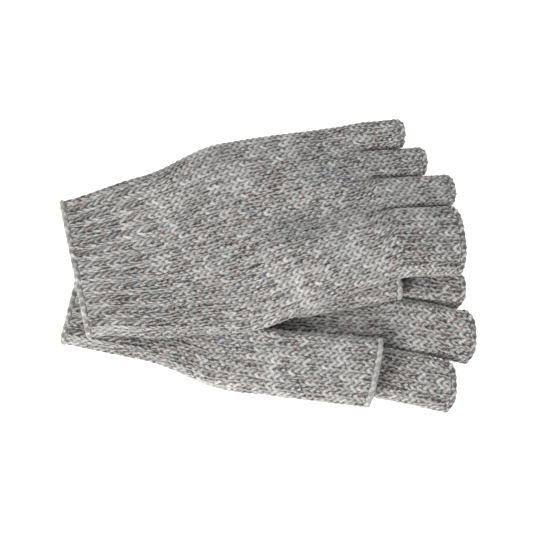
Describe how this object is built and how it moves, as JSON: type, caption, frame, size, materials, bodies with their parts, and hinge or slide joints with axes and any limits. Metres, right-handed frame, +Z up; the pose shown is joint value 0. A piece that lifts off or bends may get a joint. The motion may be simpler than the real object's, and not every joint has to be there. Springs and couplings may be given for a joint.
{
  "type": "fingerless gloves",
  "caption": "Pair of knitted half-finger gloves lying palm to palm, one draped on the other, with ribbed cuffs and open finger and thumb stalls.",
  "frame": {"origin": "middle of the pair's underside, on the surface that it lies on", "axes": "+X from the cuffs towards the fingertips, +Y from the side of the lower glove's thumb to the far side, +Z up"},
  "size_m": [0.233, 0.1732, 0.0356],
  "materials": {
    "ragg_wool": "matt marled wool knit, off-white and grey strands with a few brown ones",
    "edge_yarn": "matt wool chain edge, a little lighter than the knit"
  },
  "bodies": {
    "right_glove": {"right_cuff_cast_on_edge": "edge_yarn", "right_cuff_rib": "ragg_wool", "right_hand_tube": "ragg_wool"},
    "right_thumb": {"right_thumb_stall": "ragg_wool", "right_thumb_bound_off_edge": "edge_yarn"},
    "right_index": {"right_index_stall": "ragg_wool", "right_index_bound_off_edge": "edge_yarn"},
    "right_middle": {"right_middle_stall": "ragg_wool", "right_middle_bound_off_edge": "edge_yarn"},
    "right_ring": {"right_ring_stall": "ragg_wool", "right_ring_bound_off_edge": "edge_yarn"},
    "right_little": {"right_little_stall": "ragg_wool", "right_little_bound_off_edge": "edge_yarn"},
    "left_glove": {"left_cuff_cast_on_edge": "edge_yarn", "left_cuff_rib": "ragg_wool", "left_hand_tube": "ragg_wool"},
    "left_thumb": {"left_thumb_stall": "ragg_wool", "left_thumb_bound_off_edge": "edge_yarn"},
    "left_index": {"left_index_stall": "ragg_wool", "left_index_bound_off_edge": "edge_yarn"},
    "left_middle": {"left_middle_stall": "ragg_wool", "left_middle_bound_off_edge": "edge_yarn"},
    "left_ring": {"left_ring_stall": "ragg_wool", "left_ring_bound_off_edge": "edge_yarn"},
    "left_little": {"left_little_stall": "ragg_wool", "left_little_bound_off_edge": "edge_yarn"}
  },
  "joints": [
    {"name": "left_glove_lift", "type": "slide", "parent": "right_glove", "child": "left_glove", "axis": [0, 0, 1], "range_m": [0, 0.12]},
    {"name": "left_index_fold", "type": "hinge", "parent": "left_glove", "child": "left_index", "pos_m": [0.07218, 0.00547, 0.03824], "axis": [0.0815, -0.9316, 0.3544], "range_deg": [0, 60]},
    {"name": "left_middle_fold", "type": "hinge", "parent": "left_glove", "child": "left_middle", "pos_m": [0.0651, 0.03744, 0.0221], "axis": [0.0815, -0.9316, 0.3544], "range_deg": [0, 60]},
    {"name": "left_ring_fold", "type": "hinge", "parent": "left_glove", "child": "left_ring", "pos_m": [0.0606, 0.0577, 0.01601], "axis": [0.0815, -0.9316, 0.3544], "range_deg": [0, 60]},
    {"name": "left_little_fold", "type": "hinge", "parent": "left_glove", "child": "left_little", "pos_m": [0.05655, 0.076, 0.01342], "axis": [0.0815, -0.9316, 0.3544], "range_deg": [0, 60]},
    {"name": "left_thumb_swing", "type": "hinge", "parent": "left_glove", "child": "left_thumb", "pos_m": [0.023, -0.03463, 0.0178], "axis": [0, 0, -1], "range_deg": [0, 20]},
    {"name": "right_thumb_fold", "type": "hinge", "parent": "right_glove", "child": "right_thumb", "pos_m": [0.00659, -0.06114, 0.0236], "axis": [-0.1039, -0.9946, 0], "range_deg": [0, 60]},
    {"name": "right_index_fold", "type": "hinge", "parent": "right_glove", "child": "right_index", "pos_m": [0.06407, -0.06339, 0.0116], "axis": [-0.1994, -0.9799, 0], "range_deg": [0, 60]},
    {"name": "right_middle_fold", "type": "hinge", "parent": "right_glove", "child": "right_middle", "pos_m": [0.07026, -0.03429, 0.0116], "axis": [-0.1994, -0.9799, 0], "range_deg": [0, 45]},
    {"name": "right_ring_fold", "type": "hinge", "parent": "right_glove", "child": "right_ring", "pos_m": [0.07567, -0.00886, 0.0116], "axis": [-0.1994, -0.9799, 0], "range_deg": [0, 12]},
    {"name": "right_little_fold", "type": "hinge", "parent": "right_glove", "child": "right_little", "pos_m": [0.07982, 0.0107, 0.0116], "axis": [-0.1994, -0.9799, 0], "range_deg": [0, 12]}
  ]
}
